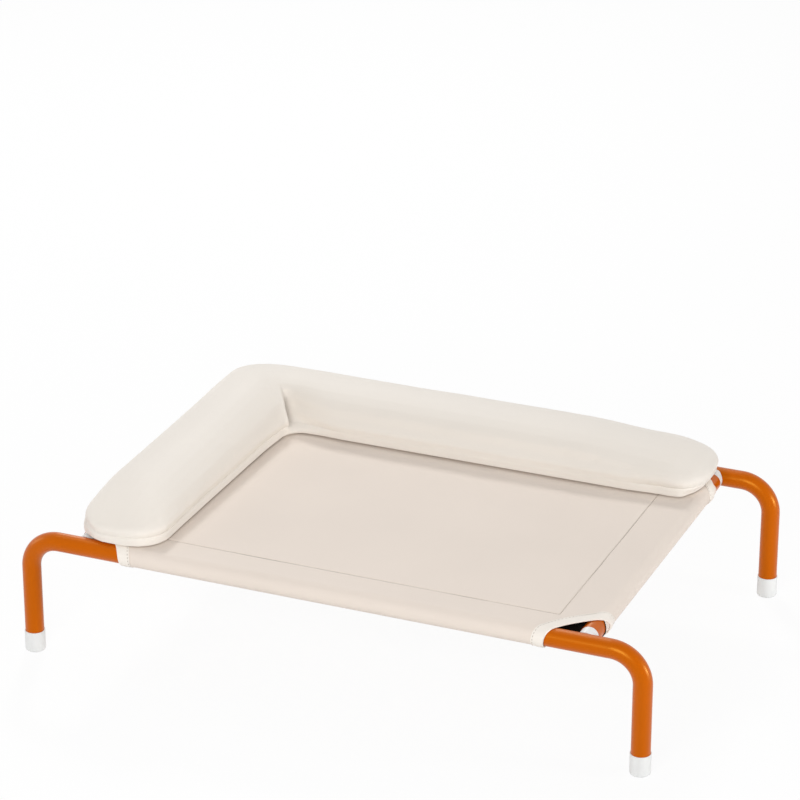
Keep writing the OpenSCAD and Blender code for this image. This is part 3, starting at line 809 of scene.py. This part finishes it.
for vertex in zip_tape.data.vertices:
    edge = abs(vertex.co.z)
    vertex.co = (
        (zip_low.x + zip_high.x) / 2 + vertex.co.x * (zip_high.x - zip_low.x) / 2,
        zip_low.y + web_rest + web_ripple * noise.noise(vertex.co * 40) - web_edge_drop * edge,
        zip_z + vertex.co.z * (zip_high.z - zip_low.z) / 2)
apply_modifier(zip_tape, "SOLIDIFY", thickness=web_thick, offset=0)
bpy.ops.object.shade_smooth_by_angle(angle=fold_angle)
zip_web = woven("zip_web", "#d9cfc1", 0.0006, 0.0001, Sheen_Weight=0.15, Specular_IOR_Level=0.25)
nylon, tree, shader = new_material("nylon", Specular_IOR_Level=0.5)
tone = add_node(
    tree, "Group", {"Color": colour("#cfc3b3"), "Scale": 60.0, "Amount": 0.12}, node_tree=mottle)
worn = add_node(tree, "MapRange", {"Value": tone.outputs["Value"], "To Min": 0.28, "To Max": 0.45})
wire(tree, shader, Base_Color=tone.outputs["Color"], Roughness=worn.outputs["Result"])
dress(zip_tape, zip_web)
dress(zip_coil, nylon)
for piece in (zip_tape, zip_coil):
    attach(piece, "bolster")
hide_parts("zip_teeth")

satin_metal, tree, shader = new_material("satin_metal", Metallic=1.0)
tone = add_node(
    tree, "Group", {"Color": colour("#b9b4ab"), "Scale": 250.0, "Amount": 0.12}, node_tree=mottle)
tumbled = add_node(tree, "Group", {"Scale": 900.0, "Amount": 1.0}, node_tree=mottle)
satin = add_node(tree, "MapRange", {"Value": tumbled.outputs["Value"], "To Min": 0.25, "To Max": 0.42})
dents = add_node(tree, "Bump", {"Height": tumbled.outputs["Value"], "Strength": 0.15, "Distance": 0.0001})
wire(tree, shader, Base_Color=tone.outputs["Color"], Roughness=satin.outputs["Result"],
     Normal=dents.outputs["Normal"])
for name in ("zip_slider", "zip_pull"):
    dress(frame["nodes"][name], satin_metal)

# The studio is a white floor under five soft lights. A small one at the back left casts the shadows of
# the bolster, a large one in front fills them, and a strip above and a low one at the right put the
# highlights on the tubes. The floor is shown white to the camera, and keeps a light shadow of the cot.
floor_size = 40
floor_glow = 0.93
fill_light = 0.37


def shown(tree):
    """A socket that is 1 for what is seen, straight, mirrored or through glass, and 0 for other light."""
    path = add_node(tree, "LightPath").outputs
    mirrored = add_node(
        tree, "Math", {0: path["Is Camera Ray"], 1: path["Is Glossy Ray"]}, operation="MAXIMUM")
    through = add_node(
        tree, "Math", {0: mirrored.outputs[0], 1: path["Is Transmission Ray"]}, operation="MAXIMUM")
    return through.outputs[0]


bpy.ops.object.select_all(action="DESELECT")
bpy.ops.mesh.primitive_plane_add(size=floor_size)
floor = bpy.context.object
floor.name = "floor"
paper = bpy.data.materials.new("paper")
paper.use_nodes = True
tree = paper.node_tree
tree.nodes.clear()
matt = add_node(tree, "BsdfDiffuse", {"Color": (0.9, 0.9, 0.9, 1)})
glow = add_node(tree, "Emission", {"Color": (1, 1, 1, 1), "Strength": 1.0})
share = add_node(tree, "Math", {0: shown(tree), 1: floor_glow}, operation="MULTIPLY")
blend = add_node(
    tree, "MixShader", {0: share.outputs[0], 1: matt.outputs[0], 2: glow.outputs[0]})
add_node(tree, "OutputMaterial", {"Surface": blend.outputs[0]})
dress(floor, paper)

world = bpy.data.worlds.new("studio")
bpy.context.scene.world = world
world.use_nodes = True
tree = world.node_tree
tree.nodes.clear()
strength = add_node(tree, "MapRange", {"Value": shown(tree), "To Min": fill_light, "To Max": 1.0})
sky = add_node(tree, "Background", {"Color": (1, 1, 1, 1), "Strength": strength.outputs["Result"]})
add_node(tree, "OutputWorld", {"Surface": sky.outputs[0]})


def soft_light(name, place, wide, high, power):
    """A soft light that faces the middle of the cot."""
    lamp = bpy.data.lights.new(name, "AREA")
    lamp.shape = "RECTANGLE"
    lamp.size = wide
    lamp.size_y = high
    lamp.energy = power
    holder = bpy.data.objects.new(name, lamp)
    holder.location = place
    holder.rotation_euler = (Vector((0, 0, 0.15)) - holder.location).to_track_quat("-Z", "Y").to_euler()
    bpy.context.scene.collection.objects.link(holder)


soft_light("key", (-1.4, 2.4, 2.3), 0.5, 0.5, 43)
soft_light("top", (-1.0, 0.6, 2.6), 1.8, 0.12, 8)
soft_light("front", (0.4, -2.8, 1.6), 1.4, 1.0, 50)
soft_light("left", (-2.7, -0.6, 1.0), 1.0, 1.0, 8)
soft_light("right", (2.7, 0.2, 0.5), 0.4, 0.4, 25)

# The camera stands to the right of the front and a little above the cot. Its lens is long, so the legs
# stay nearly parallel.
azimuth = math.radians(22.862)
elevation = math.radians(23.656)
camera = bpy.data.cameras.new("camera")
camera.lens = 150.75
camera.sensor_width = 36
stand = bpy.data.objects.new("camera", camera)
back = Vector((math.sin(azimuth) * math.cos(elevation), -math.cos(azimuth) * math.cos(elevation),
               math.sin(elevation)))
stand.location = (1.55139, -3.70395, 2.08407)
stand.rotation_euler = (-back).to_track_quat("-Z", "Y").to_euler()
bpy.context.scene.collection.objects.link(stand)
bpy.context.scene.camera = stand
bpy.context.scene.view_settings.view_transform = "Standard"
